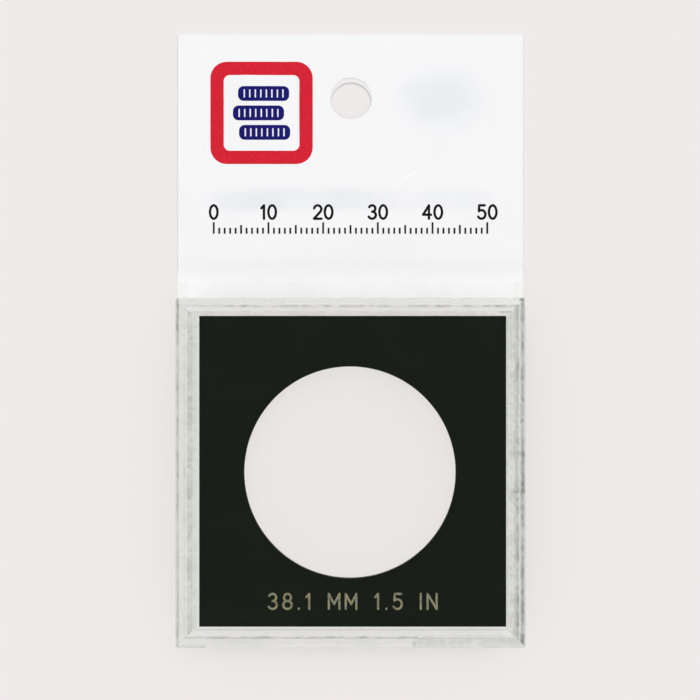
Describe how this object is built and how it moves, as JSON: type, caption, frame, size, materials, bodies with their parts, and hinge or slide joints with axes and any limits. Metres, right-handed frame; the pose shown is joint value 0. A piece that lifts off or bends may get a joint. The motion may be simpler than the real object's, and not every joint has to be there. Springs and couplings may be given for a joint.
{
  "type": "coin holder",
  "caption": "Clear square snap-together case with a black insert and a round coin seat, carried by a white film header with a peg hole.",
  "frame": {"origin": "centre of the part's outline, on the flat surface that it lies on", "axes": "+X to the right as the printed header is read, +Y up the header towards its hang hole, +Z out of the front window"},
  "size_m": [0.0636, 0.1118, 0.006],
  "materials": {
    "clear_plastic": "clear moulded polystyrene, polished",
    "black_insert": "black with a faint green cast, satin",
    "white_film": "white printed film, soft gloss",
    "clear_film": "clear film, slightly hazy",
    "adhesive": "clear pressure-sensitive adhesive"
  },
  "bodies": {
    "base": {"base": "clear_plastic", "adhesive_strip": "adhesive", "clear_tail": "clear_film"},
    "insert": {"insert": "black_insert"},
    "cover": {"cover": "clear_plastic"},
    "header": {"header_back_film": "white_film", "header_front_film": "white_film"}
  },
  "joints": [
    {"name": "insert_lift", "type": "slide", "parent": "base", "child": "insert", "axis": [0, 0, 1], "range_m": [0, 0.012]},
    {"name": "cover_lift", "type": "slide", "parent": "insert", "child": "cover", "axis": [0, 0, 1], "range_m": [0, 0.03]},
    {"name": "header_fold", "type": "hinge", "parent": "base", "child": "header", "pos_m": [0, 0.0127, 0.00006], "axis": [1, 0, 0], "range_deg": [0, 90]}
  ]
}
